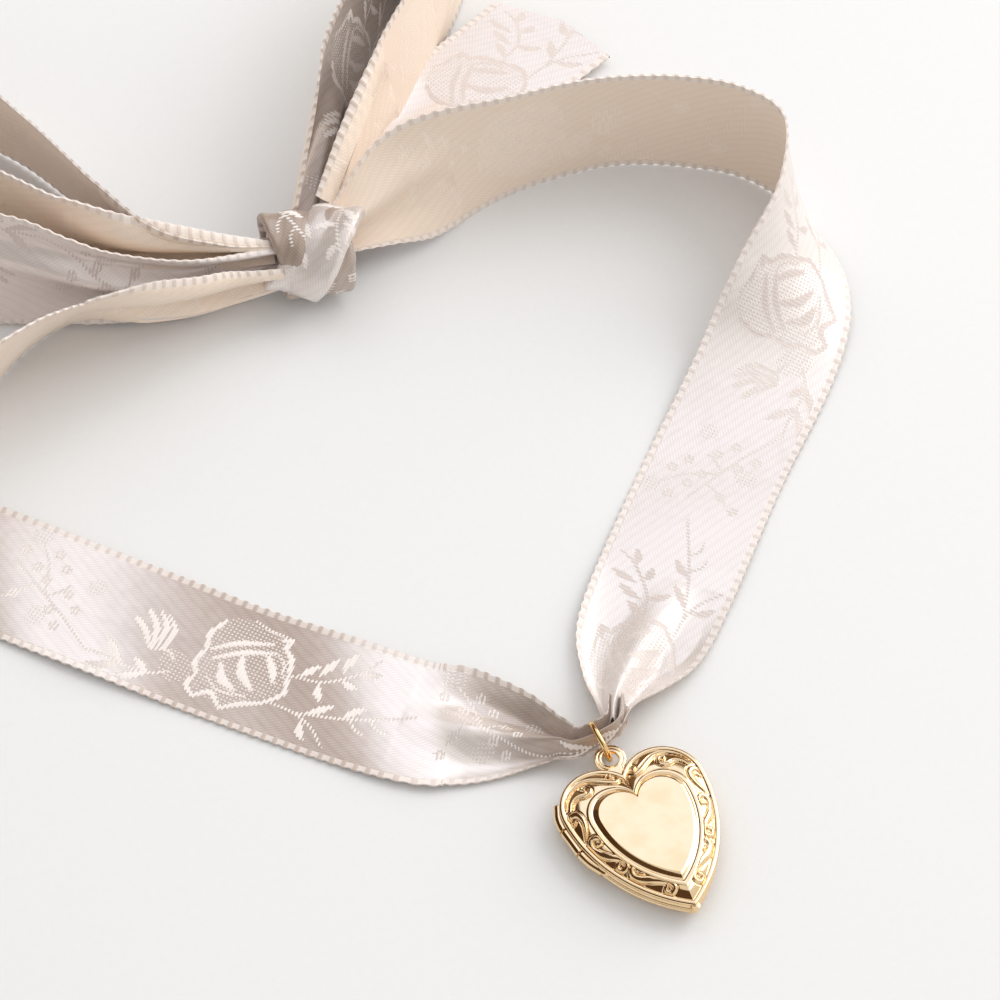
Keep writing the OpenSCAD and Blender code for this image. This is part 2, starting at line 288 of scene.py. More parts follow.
def make_stage():
    corners = [(-FLOOR_HALF, -FLOOR_HALF, 0), (FLOOR_HALF, -FLOOR_HALF, 0), (FLOOR_HALF, FLOOR_HALF, 0),
               (-FLOOR_HALF, FLOOR_HALF, 0)]
    floor = plain_mesh("floor", corners, [(0, 1, 2, 3)])
    n = Nodes("floor_paper")
    grain = n.noise(900.0, 4.0, n.add("TexCoord").outputs["Object"])
    floor.data.materials.append(n.surface(
        Base_Color=n.mix(grain, (0.735, 0.735, 0.738, 1), (0.765, 0.765, 0.768, 1)),
        Roughness=0.7, Normal=n.bump(grain, 0.00005, 0.1)))

    world = bpy.data.worlds.new("studio")
    world.use_nodes = True
    background = world.node_tree.nodes["Background"]
    background.inputs["Color"].default_value = (1.0, 0.99, 0.975, 1)
    background.inputs["Strength"].default_value = 0.80
    bpy.context.scene.world = world
    bpy.context.scene.view_settings.view_transform = "Standard"

    area_light("window", (0.88, 0.16, 0.55), 1.3, 1.1, 12.0, (1.0, 0.985, 0.96))
    area_light("fill", (0.1, 0.7, 0.9), 1.6, 1.2, 4.0, (1.0, 0.98, 0.96))

    # Cards that only mirroring surfaces see: a bright wall behind, and the unlit side of the room
    for name, direction, width, height, colour, strength in (
            ("card_bright", (0.30, 0.50, 0.92), 0.80, 0.62, (0.92, 1.0, 1.20, 1), 1.22),
            ("card_left", (-0.66, 0.58, 0.43), 1.30, 1.15, (0.070, 0.038, 0.018, 1), 1.0),
            ("card_near", (-0.70, -0.44, 0.70), 1.30, 0.80, (0.090, 0.052, 0.026, 1), 1.0),
            ("card_low", (0.0, 1.0, 0.36), 1.9, 0.72, (0.17, 0.10, 0.05, 1), 1.0)):
        wall = Nodes(name)
        wall.tree.nodes.remove(wall.shader)
        glow = wall.add("Emission", {"Color": colour, "Strength": strength})
        wall.tree.links.new(glow.outputs[0], wall.tree.nodes["Material Output"].inputs[0])
        piece = panel_at(name, direction, width, height)
        piece.data.materials.append(wall.material)
        piece.visible_camera = piece.visible_diffuse = piece.visible_shadow = False
        piece.visible_transmission = False


def area_light(name, direction, distance, size, power, colour):
    data = bpy.data.lights.new(name, "AREA")
    data.shape = "SQUARE"
    data.size = size
    data.energy = power
    data.color = colour
    lamp = link(bpy.data.objects.new(name, data))
    lamp.location = LIGHT_AIM + Vector(direction).normalized() * distance
    lamp.rotation_euler = Vector(direction).to_track_quat("Z", "Y").to_euler()


make_stage()

# ---- Mesh making ----


def unit(v):
    return v / np.maximum(np.linalg.norm(v, axis=-1, keepdims=True), 1e-9)


def loft(rings, cap=True):
    """Points and faces of closed rings joined one to the next, with a fan over both ends."""
    rings = np.asarray(rings, float)
    count = rings.shape[1]
    start = np.arange(len(rings) - 1)[:, None] * count
    here = np.arange(count)[None, :]
    after = (here + 1) % count
    quads = np.stack([start + here, start + after, start + after + count, start + here + count], -1)
    points = rings.reshape(-1, 3)
    faces = quads.reshape(-1, 4).tolist()
    if cap:
        last = len(points) - count
        ends = [rings[0].mean(0), rings[-1].mean(0)]
        points = np.vstack([points, ends])
        for i in range(count):
            j = (i + 1) % count
            faces.append((len(points) - 2, j, i))
            faces.append((last + i, last + j, len(points) - 1))
    return points, faces


def grid_faces(rows, columns):
    """Quads of a sheet of rows by columns, where the columns close on themselves."""
    start = np.arange(rows - 1)[:, None] * columns
    here = np.arange(columns)[None, :]
    after = (here + 1) % columns
    return np.stack([start + here, start + after, start + after + columns, start + here + columns],
                    -1).reshape(-1, 4).tolist()


def finish_piece(name, points, faces, material, body, replaced, crease=40.0):
    """A mesh in metres from points in millimetres, placed on its body."""
    mesh = bpy.data.meshes.new(name)
    mesh.from_pydata((np.asarray(points) * MM).tolist(), [], [tuple(f) for f in faces])
    shape = bmesh.new()
    shape.from_mesh(mesh)
    bmesh.ops.remove_doubles(shape, verts=shape.verts, dist=2e-7)
    bmesh.ops.recalc_face_normals(shape, faces=shape.faces)
    shape.to_mesh(mesh)
    shape.free()
    mesh.polygons.foreach_set("use_smooth", [True] * len(mesh.polygons))
    mesh.set_sharp_from_angle(angle=math.radians(crease))
    mesh.materials.append(material)
    piece = link(bpy.data.objects.new(name, mesh))
    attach(piece, body)
    if replaced:
        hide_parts(*replaced)
    return piece


# ---- Heart ----

# Half width, lobe radius, lobe height and tip height of each heart outline
OUTLINE = (11.5, 6.45, 7.3, -13.7)
SHOULDER = (8.4, 4.5, 4.9, -10.8)
PANEL = (6.7, 3.5, 4.3, -8.3)
LOBE_POINTS = 165
FLANK_POINTS = 265


def heart(shape, inset=0.0):
    """Points round a heart, clockwise from its notch, drawn in by inset."""
    half_w, lobe_r, lobe_y, tip_y = shape
    depth = lobe_y - tip_y
    flank_r = (half_w ** 2 + depth ** 2) / (2 * half_w)
    lobe_x, flank_x = half_w - lobe_r, half_w - flank_r
    lobe_r, flank_r = lobe_r - inset, flank_r - inset
    lobe = np.linspace(math.acos(max(-1.0, -lobe_x / lobe_r)), 0.0, LOBE_POINTS, endpoint=False)
    flank = np.linspace(0.0, -math.acos(-flank_x / flank_r), FLANK_POINTS)
    right = np.vstack([
        np.stack([lobe_x + lobe_r * np.cos(lobe), lobe_y + lobe_r * np.sin(lobe)], -1),
        np.stack([flank_x + flank_r * np.cos(flank), lobe_y + flank_r * np.sin(flank)], -1)])
    left = right[:-1][::-1] * (-1, 1)
    return np.vstack([right, left])


def level(flat, z):
    """A flat outline at a height."""
    return np.column_stack([flat, np.full(len(flat), z) if np.isscalar(z) else z])


def between(first, second, share):
    return first * (1 - share) + second * share


def smooth_step(t):
    t = np.clip(t, 0, 1)
    return t * t * (3 - 2 * t)


def spline(points, steps):
    """A smooth curve through points."""
    p = np.asarray(points, float)
    p = np.vstack([2 * p[0] - p[1], p, 2 * p[-1] - p[-2]])
    made = []
    for i in range(1, len(p) - 2):
        t = np.linspace(0, 1, steps, endpoint=False)[:, None]
        made.append(0.5 * (2 * p[i] + (p[i + 1] - p[i - 1]) * t
                           + (2 * p[i - 1] - 5 * p[i] + 4 * p[i + 1] - p[i + 2]) * t ** 2
                           + (3 * p[i] - p[i - 1] - 3 * p[i + 1] + p[i + 2]) * t ** 3))
    made.append(p[-2:-1])
    return np.vstack(made)


# Embossed scrolls of the front cover's border, on its right half. The left half mirrors them.
# Each is its middle line, then its half-width at the start, middle and end.
SCROLL_LINES = [
    ([(5.4, -5.9), (4.8, -6.1), (4.7, -5.4), (5.3, -4.7), (6.2, -4.8), (6.4, -5.7), (5.6, -6.7), (4.2, -7.5),
      (2.9, -8.3), (1.9, -9.2), (1.7, -10.2), (2.5, -10.6), (3.1, -9.9), (2.6, -9.4)], (0.22, 0.52, 0.22)),
    ([(8.8, 1.1), (8.2, 1.2), (8.1, 1.9), (8.7, 2.5), (9.5, 2.3), (9.8, 1.2), (9.1, -0.3), (8.2, -1.3),
      (7.1, -2.2), (6.4, -3.2), (6.5, -4.0), (7.4, -4.2), (7.9, -3.4), (7.3, -3.0)], (0.22, 0.52, 0.22)),
    ([(10.1, 6.3), (10.6, 6.0), (10.9, 6.8), (10.3, 7.5), (9.4, 7.3), (9.0, 6.3), (9.1, 5.0), (9.5, 3.8),
      (9.9, 2.9)], (0.22, 0.50, 0.06)),
    ([(1.7, 10.9), (2.1, 11.3), (1.6, 11.8), (0.9, 11.4), (0.9, 10.5), (1.6, 10.0), (2.7, 10.4), (4.1, 11.3),
      (5.5, 12.0), (7.1, 12.0), (8.6, 11.2), (9.7, 10.1), (10.4, 8.8)], (0.20, 0.42, 0.10)),
    ([(6.6, 10.6), (6.9, 11.1), (6.2, 11.3), (5.7, 10.6), (6.0, 9.8), (6.9, 9.5), (8.0, 9.7), (8.9, 9.2),
      (9.5, 8.3)], (0.20, 0.36, 0.08))]


def scroll(points, widths):
    """A smooth middle line and its half-width at each point."""
    line = spline(points, 10)
    return line, np.interp(np.linspace(0, 2, len(line)), [0, 1, 2], widths)


SCROLLS = [scroll(points, widths) for points, widths in SCROLL_LINES]


def scroll_relief(flat):
    """Height of the embossed scrolls at flat points: round backs with a pressed line along each side."""
    # Complex numbers stand for flat points, as their abs() is the distance
    spot = np.abs(flat[:, 0]) + 1j * flat[:, 1]
    nearest = np.full(len(flat), FAR)
    for line, half in SCROLLS:
        track = line[:, 0] + 1j * line[:, 1]
        for point, wide in zip(track, half):
            np.minimum(nearest, np.abs(spot - point) - wide, out=nearest)
    back = np.sqrt(np.clip(-nearest / 0.34, 0, 1))
    return 0.06 * smooth_step(-nearest / 0.1) + 0.26 * back - 0.13 * np.exp(-((nearest - 0.10) / 0.09) ** 2)


# Hinge line, and the middle lines of its three barrels: the outer two bend in to follow the flank
HINGE_MID = np.array([-11.45, 4.1, 2.75])
HINGE_LEAN = math.radians(7)
HINGE_WAY = np.array([-math.sin(HINGE_LEAN), math.cos(HINGE_LEAN), 0.0])
HINGE_SIDE = np.array([math.cos(HINGE_LEAN), math.sin(HINGE_LEAN), 0.0])
KNUCKLE_L, KNUCKLE_R, KNUCKLE_GAP = 4.3, 0.8, 0.12
# Radii of a barrel's flat end, out to its softened rim, and the length that the rim is softened over
KNUCKLE_END_RADII, KNUCKLE_SOFTENING = (0.40, 0.66, 0.76), 0.06
# Where along an outer barrel its bend starts, and the length it takes
BEND_START, BEND_L = 0.8, 2.4
KNUCKLE_STEPS = 24
FIRST_TILT = math.radians(8)
UPPER_TILT, LOWER_TILT = math.radians(30), math.radians(22)
SWING_ROOM = 0.1


def barrel_line(side, tilt):
    """Middle line of one knuckle. side is 1 for the upper, -1 for the lower and 0 for the middle one."""
    if side == 0:
        return HINGE_MID + np.linspace(-KNUCKLE_L / 2, KNUCKLE_L / 2, KNUCKLE_STEPS)[:, None] * HINGE_WAY
    start = HINGE_MID + side * (KNUCKLE_L / 2 + KNUCKLE_GAP) * HINGE_WAY
    t = np.linspace(0, KNUCKLE_L, KNUCKLE_STEPS)
    bend = FIRST_TILT + (tilt - FIRST_TILT) * smooth_step((t - BEND_START) / BEND_L)
    heading = side * np.cos(bend)[:, None] * HINGE_WAY + np.sin(bend)[:, None] * HINGE_SIDE
    step = np.gradient(t)[:, None] * heading
    return start + np.cumsum(step, axis=0) - step[0] / 2


UPPER_LINE = barrel_line(1, UPPER_TILT)
MIDDLE_LINE = barrel_line(0, 0.0)
LOWER_LINE = barrel_line(-1, LOWER_TILT)


# Room kept past each end of a barrel, and the number of places looked at along it
END_ROOM, CLEAR_STEPS = 0.25, 80


def clear_barrels(points, middle_lines):
    """Pushes points out of the swing room round barrels."""
    for line in middle_lines:
        way = unit(line[-1] - line[0])
        longer = np.vstack([line[0] - way * END_ROOM, line, line[-1] + way * END_ROOM])
        at = np.linspace(0, 1, CLEAR_STEPS)
        dense = np.stack([np.interp(at, np.linspace(0, 1, len(longer)), longer[:, k]) for k in range(3)], -1)
        near = np.linalg.norm(points - dense[CLEAR_STEPS // 2], axis=1) < KNUCKLE_L
        spots = points[near]
        gap = np.linalg.norm(spots[:, None] - dense[None], axis=2)
        nearest = dense[gap.argmin(1)]
        off = spots - nearest
        distance = np.linalg.norm(off, axis=1)
        radius = KNUCKLE_R + SWING_ROOM
        push = np.maximum(radius / np.maximum(distance, 1e-6) - 1, 0)[:, None]
        points[near] = spots + off * push
    return points


# Insets of each cover's rings from the outline: the mouth inside its wall, and where its border starts
MOUTH_INSET = 2.2
BORDER_INSET = 0.82
# Height of the front panel's middle, and how far its edge lies below that
PANEL_TOP, PANEL_DOME = 5.5, 0.02


def front_cover():
    wall = [(0.55, 3.73), (0.55, 2.84), (0.50, 2.79), (0.14, 2.78), (0.04, 2.82), (0.0, 2.90), (-0.02, 3.0),
            (0.0, 3.10), (0.07, 3.17), (0.10, 3.22), (0.10, 3.56), (0.06, 3.62), (0.0, 3.68), (-0.03, 3.80),
            (-0.01, 3.92), (0.07, 4.03), (0.22, 4.12), (0.42, 4.16), (0.60, 4.13), (0.72, 4.05), (0.78, 3.99)]
    mouth = heart(OUTLINE, MOUTH_INSET)
    rings = [level(mouth * share, 4.33) for share in (0.3, 0.65, 1.0)]
    rings.append(level(mouth, 3.73))
    rings += [level(heart(OUTLINE, inset), z) for inset, z in wall]
    outer, inner = heart(OUTLINE, BORDER_INSET), heart(SHOULDER)
    for share in np.linspace(0, 1, 48)[1:]:
        flat = between(outer, inner, share)
        ground = 3.99 + 0.93 * (1 - (1 - share) ** 1.5)
        fade = smooth_step(share / 0.06) * smooth_step((1 - share) / 0.05)
        rings.append(level(flat, ground + scroll_relief(flat) * fade))
    panel = heart(PANEL)
    for share, z in ((0.05, 5.0), (0.12, 5.06), (0.24, 5.10), (0.36, 5.09), (0.42, 5.04), (0.47, 4.98),
                     (0.52, 4.99), (0.60, 5.08), (0.72, 5.24), (0.84, 5.38), (0.92, 5.45), (0.97, 5.475),
                     (1.0, 5.48)):
        rings.append(level(between(inner, panel, share), z))
    for share in (0.97, 0.9, 0.75, 0.55, 0.35, 0.15):
        rings.append(level(panel * share, PANEL_TOP - PANEL_DOME * share ** 8))
    points, faces = loft(rings)
    points = clear_barrels(points, (UPPER_LINE, LOWER_LINE))
    return finish_piece("front_shell", points, faces, GOLD, "front", ["front_cover"], 50)


def back_cover():
    wall = [(0.65, 1.82), (0.65, 2.66), (0.55, 2.71), (0.14, 2.72), (0.04, 2.68), (0.0, 2.60), (-0.02, 2.50),
            (0.0, 2.40), (0.07, 2.33), (0.10, 2.28), (0.10, 1.94), (0.06, 1.88), (0.0, 1.82), (-0.03, 1.70),
            (-0.01, 1.58), (0.07, 1.47), (0.22, 1.38), (0.42, 1.34), (0.60, 1.36), (0.72, 1.42), (0.78, 1.46)]
    mouth = heart(OUTLINE, MOUTH_INSET)
    rings = [level(mouth * share, 0.6) for share in (0.3, 0.65, 1.0)]
    rings.append(level(mouth, 1.82))
    rings += [level(heart(OUTLINE, inset), z) for inset, z in wall]
    outer, inner = heart(OUTLINE, BORDER_INSET), heart(SHOULDER)
    for share in np.linspace(0, 1, 20)[1:]:
        rings.append(level(between(outer, inner, share), 0.24 + 1.22 * (1 - share) ** 2.2))
    panel = heart(PANEL)
    for share, z in ((0.1, 0.20), (0.3, 0.18), (0.4, 0.24), (0.48, 0.26), (0.6, 0.20), (0.75, 0.10),
                     (0.9, 0.03), (1.0, 0.0)):
        rings.append(level(between(inner, panel, share), z))
    for share in (0.97, 0.9, 0.6, 0.3):
        rings.append(level(panel * share, 0.0))
    points, faces = loft(rings)
    points = clear_barrels(points, (MIDDLE_LINE,))
    return finish_piece("back_shell", points, faces, GOLD, "back", ["back_cover"], 50)


def knuckle(name, line, body):
    """A barrel with softened ends. It is solid: the pin runs through it without a bore."""
    around = np.linspace(0, TURN, 56, endpoint=False)
    heading = unit(np.gradient(line, axis=0))
    side = unit(np.cross(heading, (0, 0, 1)))
    up = np.cross(side, heading)
    circle = np.cos(around)[:, None, None] * side + np.sin(around)[:, None, None] * up
    rings = [line[0] + r * circle[:, 0] for r in KNUCKLE_END_RADII]
    rings.append(line[0] + heading[0] * KNUCKLE_SOFTENING + KNUCKLE_R * circle[:, 0])
    rings += [line[i] + KNUCKLE_R * circle[:, i] for i in range(1, len(line) - 1)]
    rings.append(line[-1] - heading[-1] * KNUCKLE_SOFTENING + KNUCKLE_R * circle[:, -1])
    rings += [line[-1] + r * circle[:, -1] for r in KNUCKLE_END_RADII[::-1]]
    points, faces = loft(rings)
    return finish_piece(name + "_barrel", points, faces, GOLD, body, [name], 40)


BAIL_LOW, BAIL_HIGH, BAIL_HOLE_R = 1.92, 2.72, 1.3
BAIL_MID = np.array([0.0, 15.2, (BAIL_LOW + BAIL_HIGH) / 2])


def bail():
    """The flat stamped eye in the notch, with softened edges and a shallow groove."""
    centre, hole, rim = BAIL_MID[:2], BAIL_HOLE_R, 2.45
    stem_half, stem_end, low, high = 1.3, 4.6, BAIL_LOW, BAIL_HIGH
    angle = np.linspace(0, TURN, 180, endpoint=False)
    reach = np.full(len(angle), rim)
    down = np.sin(angle) < -0.5
    reach[down] = np.maximum(rim, np.minimum(stem_half / np.maximum(np.abs(np.cos(angle[down])), 1e-3),
                                             stem_end / np.abs(np.sin(angle[down]))))
    middle = BAIL_MID[2]
    profile = [(0.0, middle), (0.0, high - 0.16), (0.05, high - 0.05), (0.16, high), (0.42, high - 0.02),
               (0.52, high - 0.07), (0.62, high - 0.02), (0.84, high), (0.95, high - 0.05), (1.0, high - 0.18),
               (1.0, low + 0.18), (0.95, low + 0.05), (0.84, low), (0.16, low), (0.05, low + 0.05),
               (0.0, low + 0.16), (0.0, middle)]
    rings = []
    for share, z in profile:
        r = hole + (reach - hole) * share
        rings.append(np.column_stack([centre[0] + r * np.cos(angle), centre[1] + r * np.sin(angle),
                                      np.full(len(angle), z)]))
    points, faces = loft(rings, cap=False)
    return finish_piece("bail", points, faces, GOLD, "back", ["bail_loop"], 40)


# The jump ring leans to one side and rises from the bail's hole, which the middle of its wire passes through
RING_R, WIRE_R = 3.05, 0.45
RING_LEAN, RING_RISE = math.radians(13), math.radians(23)
RING_NORMAL = np.array([math.cos(RING_LEAN), 0.0, math.sin(RING_LEAN)])
RING_UP = np.array([-math.sin(RING_LEAN), 0.0, math.cos(RING_LEAN)])
ALONG = np.array([0.0, 1.0, 0.0])
RING_MID = BAIL_MID + RING_R * (math.cos(RING_RISE) * ALONG + math.sin(RING_RISE) * RING_UP)


def jump_ring():
    """Round wire bent to a ring, with its closed cut low down and facing the heart."""
    cut = math.radians(205)
    half_gap = 0.04 / RING_R
    turn = np.linspace(cut + half_gap, cut + TURN - half_gap, 160)
    wire = np.linspace(0, TURN, 32, endpoint=False)
    rings = []
    for i, a in enumerate(turn):
        from_end = min(i, len(turn) - 1 - i)
        r = WIRE_R * (0.9 if from_end == 0 else 1.0)
        out = math.cos(a) * ALONG + math.sin(a) * RING_UP
        rings.append(RING_MID + RING_R * out
                     + r * (np.cos(wire)[:, None] * out + np.sin(wire)[:, None] * RING_NORMAL))
    points, faces = loft(rings)
    return finish_piece("jump_ring_wire", points, faces, RING_GOLD, "ring", ["jump_ring"], 40)


def nib():
    """A small rounded catch at the tip for a fingernail."""
    middle_y, stretch = -13.45, 1.05
    t = np.linspace(0, TURN, 40, endpoint=False)
    rings = [np.column_stack([r * np.cos(t), middle_y + r * stretch * np.sin(t), np.full(len(t), z)])
             for r, z in ((0.3, 2.80), (0.62, 2.80), (0.72, 2.86), (0.75, 3.0), (0.75, 3.45), (0.70, 3.6),
                          (0.55, 3.68), (0.3, 3.7))]
    points, faces = loft(rings)
    return finish_piece("thumb_nib", points, faces, GOLD, "front", ["thumb_catch"], 40)


def soften(node, width):
    """Joins a CAD node's corners and rounds its edges."""
    weld = nodes[node].modifiers.new("weld", "WELD")
    weld.merge_threshold = 1e-6
    bevel = nodes[node].modifiers.new("bevel", "BEVEL")
    bevel.width = width * MM
    bevel.segments = 2
    bevel.limit_method = "ANGLE"
    bevel.angle_limit = math.radians(50)


def paint(node, material):
    obj = nodes[node]
    obj.data.materials.clear()
    obj.data.materials.append(material)


front_cover()
back_cover()
knuckle("back_knuckle_upper", UPPER_LINE, "back")
knuckle("back_knuckle_lower", LOWER_LINE, "back")
knuckle("front_knuckle", MIDDLE_LINE, "front")
bail()
jump_ring()
nib()
for gold_node in ("hinge_pin", "snap_lip", "back_photo_frame", "front_photo_frame"):
    paint(gold_node, GOLD)
    soften(gold_node, 0.06)
for cover in ("back", "front"):
    paint(cover + "_window", ACETATE)
    paint(cover + "_photo_card", CARD)

# ---- Ribbon ----

RIBBON_W = 22.0
CLOTH_T = 0.22
STATION = 0.33
FACE_COLUMNS = 58
REVERSE_COLUMNS = 14
FLAT_Z = 0.35
# Ends of the stretch that is gathered in the jump ring
GATHER_LEFT = (-3.43, 19.07, 3.84)
GATHER_RIGHT = (2.42, 19.07, 5.19)
TUCK_R = 0.75

# Painted pools of light along the satin, which the swells of wavy pieces follow too: where the first one
# starts, and the length from one to the next
GLOW_START = 19.0
GLOW_PITCH = 60.0

# Length over which a slanted end is cut
CUT_L = 25.0

# Selvedge: height of the scallops of its rim, where they start from the middle line, and their soft width,
# then height of the beads along it, how far in from the edge they reach, and their soft width
SCALLOP, SCALLOP_AT, SCALLOP_SOFT = 0.13, 10.2, 0.8
BEAD, BEAD_AT, BEAD_SOFT = 0.10, 1.1, 0.5

# Height of the woven pattern over the ground, and how softly it rises
STROKE_RELIEF, FILL_RELIEF, RELIEF_SOFT = 0.05, 0.025, 0.12
TABLE_GAP = 0.02

# Routes: x, y, z, lean of the width from level, width. The lean turns the left edge up. They are the CAD's,
# apart from the gather, where the left side of the neck runs on through the jump ring and both are wider.
NECK_LEFT = [
    (5.2, 23.2, 4.0, 0, 3), (*GATHER_RIGHT, 0, 3.2), (*GATHER_LEFT, 0, 4.0),
    (-6, 21.5, 2.8, 0, 7), (-11, 26, 1.2, 0, 15), (-18, 31, 0.5, 0, 21), (-25, 36, FLAT_Z, 0, 22),
    (-41, 53, FLAT_Z, 0, 22), (-57, 71, FLAT_Z, 0, 22), (-73, 90, FLAT_Z, 0, 22),
    (-87, 106, 2, -8, 22), (-98, 121, 6.6, -35, 22), (-104, 138, 10.3, -66, 22),
    (-101, 157, 11.2, -82, 22), (-90, 173, 11.2, -88, 22), (-74, 183, 11.2, -88, 22),
    (-57, 182, 11.2, -86, 22), (-44, 170, 11.2, -82, 22), (-36.5, 155, 11.2, -78, 22),
    (-31, 139, 11, -76, 22), (-24.5, 129.5, 9.8, -74, 18), (-16, 125.5, 8.6, -76, 11),
    (-8, 123.5, 8, -80, 6)]
NECK_RIGHT = [
    (*GATHER_RIGHT, 0, 3.0),
    (4.5, 22.5, 4.4, 0, 6), (8, 27, 2.4, 0, 13), (13.5, 33, 0.8, 0, 20), (23, 42.5, FLAT_Z, 0, 22),
    (39.5, 58.5, FLAT_Z, 0, 22), (56, 73, 2.1, 8, 22), (66, 83.5, 7, 36, 22),
    (72, 94, 10.5, 70, 22), (74, 104, 11.2, 88, 22), (70, 112, 11.2, 90, 22),
    (62, 118, 11.2, 90, 22), (53, 122, 11.2, 90, 22), (44, 124, 11.2, 92, 22),
    (34, 125, 11.1, 96, 22), (24, 125.5, 10.6, 108, 22), (15, 125, 9.8, 120, 19),
    (8, 123.5, 9, 122, 13), (1.5, 122, 8, 120, 7)]
LOOP_LEFT = [
    (-8, 121, 7.6, -70, 6), (-16, 122.2, 7.2, -84, 10), (-25, 123.4, 7.7, -86, 13.5),
    (-36, 128, 8.8, -84, 16), (-42, 131.2, 9.8, -82, 18.5), (-50, 136, 10.6, -74, 21),
    (-65, 144, 11.1, -70, 22), (-77, 152, 11.3, -78, 22), (-83.5, 160, 11.4, -86, 22),
    (-79.5, 166.5, 11.4, -90, 22), (-70, 165.5, 11.4, -90, 22), (-58, 158, 11.4, -90, 22),
    (-48, 148, 11.4, -90, 22), (-40, 137.5, 11.3, -88, 22), (-31, 129.5, 10.6, -86, 18),
    (-19, 125, 9.4, -86, 11), (-9, 122.5, 8.6, -86, 5)]
LOOP_RIGHT = [
    (-2, 127, 8.6, 80, 6), (5, 136, 9.6, 76, 14), (14, 147.5, 10.8, 74, 22),
    (25, 161, 11, 78, 22), (37, 175, 11.2, 86, 22), (44, 180, 11.2, 90, 22),
    (48.5, 176, 11.2, 92, 22), (44, 167.5, 11.2, 94, 22), (34, 157, 11.2, 96, 22),
    (22, 145.5, 11, 98, 22), (11, 135.5, 10, 96, 15), (2, 127, 8.8, 92, 7)]
TAIL_LEFT = [
    (-9, 119, 6.2, 74, 7), (-17, 120, 5.6, 82, 10.4), (-24, 119.9, 6.8, 76, 13),
    (-31, 120.6, 8.3, 68, 16.5), (-37.5, 121.6, 9.7, 61, 21), (-43.5, 122.8, 9.9, 58, 22),
    (-50, 121.4, 10.2, 62, 22), (-58, 117.8, 10.8, 70, 22), (-68, 113.5, 11.1, 76, 22),
    (-79, 109.5, 11.2, 80, 22)]
TAIL_RIGHT = [
    (1, 125, 6, 20, 7), (10, 131, 5.2, 12, 15), (21, 137.5, 3.6, 8, 20),
    (34, 144, 2.6, 5, 22), (46, 149.5, 2, 3, 22), (58, 154, 2, 3, 22)]

# The knot: a rolled middle, a wrap over it and a narrower slanting turn. The leans here are not used.
KNOT_CORE = [
    (-3, 120, 3.2, 0, 12), (-3, 117.8, 6, 0, 12), (-3, 118, 9, 0, 12), (-3, 120.4, 11, 0, 12),
    (-3, 124, 10.6, 0, 12), (-2.6, 126, 8, 0, 12), (-2.6, 125.4, 4.6, 0, 12), (-3, 122.5, 3, 0, 12)]
KNOT_WRAP = [
    (-3, 125.5, 1.9, 0, 12), (-2.8, 128, 5, 0, 12), (-2.8, 127.4, 10, 0, 13), (-3, 124.6, 13, 0, 13),
    (-3.4, 120, 12.8, 0, 12.5), (-3.8, 116.6, 10.2, 0, 12), (-4, 115.2, 6, 0, 11.5), (-4, 115.6, 3, 0, 11),
    (-4, 118, 1.9, 0, 11)]
KNOT_OVER = [
    (4.4, 127, 6.4, 0, 8.5), (4, 125.6, 10.2, 0, 8.5), (2, 122.6, 13.4, 0, 9), (-2, 118.6, 13.2, 0, 9),
    (-6, 115.8, 9.8, 0, 9), (-8.4, 115.8, 6, 0, 8.5), (-9, 117.5, 3.6, 0, 8.5)]


# Woven pattern: signed distances in millimetres, negative inside. x runs along the ribbon and y across.
PATTERN_LENGTH, PATTERN_START = 73.0, -43.5


def flower(x, y, at, size):
    """A small blossom of five dots round a middle."""
    found = np.full(x.shape, FAR)
    for k in range(5):
        a = TURN * k / 5 + 0.4
        dot = np.hypot(x - at[0] - size * math.cos(a), y - at[1] - size * math.sin(a)) - size * 0.5
        np.minimum(found, dot, out=found)
    return found


def brush(x, y, points, widths):
    """A curved stroke through points that swells from the first width to the second and back to the last."""
    line = spline(points, 6)
    share = np.linspace(0, 2, len(line))
    half = np.interp(share, [0, 1, 2], widths) / 2
    found = np.full(x.shape, FAR)
    for (x0, y0), (x1, y1), h in zip(line, line[1:], half):
        dx, dy = x1 - x0, y1 - y0
        t = np.clip(((x - x0) * dx + (y - y0) * dy) / (dx * dx + dy * dy), 0, 1)
        np.minimum(found, np.hypot(x - x0 - t * dx, y - y0 - t * dy) - h, out=found)
    return found


def discs(x, y, spots):
    """Joined round patches, each x, y and a radius."""
    found = np.full(x.shape, FAR)
    for at_x, at_y, r in spots:
        np.minimum(found, np.hypot(x - at_x, y - at_y) - r, out=found)
    return found


def wrapped(x):
    """Distance along the ribbon from the nearest rose of the repeat."""
    return (x - PATTERN_START) % PATTERN_LENGTH + PATTERN_START


